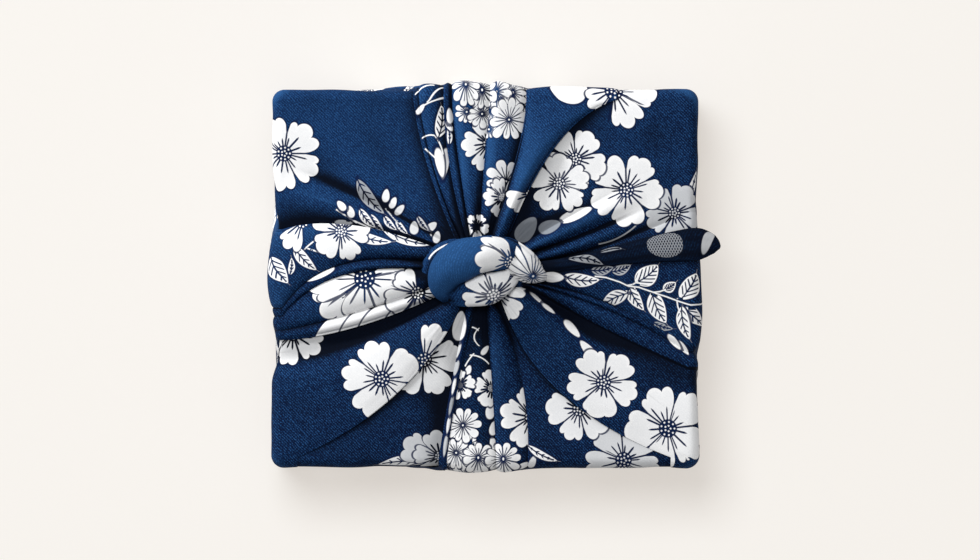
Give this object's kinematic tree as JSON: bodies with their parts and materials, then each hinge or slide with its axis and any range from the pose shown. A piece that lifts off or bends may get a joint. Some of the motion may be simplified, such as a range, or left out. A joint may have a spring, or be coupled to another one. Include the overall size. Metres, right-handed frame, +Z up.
{
  "type": "furoshiki wrap",
  "caption": "Box wrapped in a printed cotton furoshiki cloth, gathered over the middle of each side and tied in a knot on top with a free end.",
  "frame": {"origin": "middle of the flat underside, on the surface that the wrap stands on", "axes": "+Z up through the knot, +X along the longer side towards the free end, +Y towards the back, which is the top of the picture"},
  "size_m": [0.2363, 0.203, 0.103],
  "materials": {
    "printed_cotton": "indigo plain-woven cotton with white blossoms, matt"
  },
  "bodies": {
    "root": {"furoshiki": "printed_cotton"}
  },
  "joints": []
}
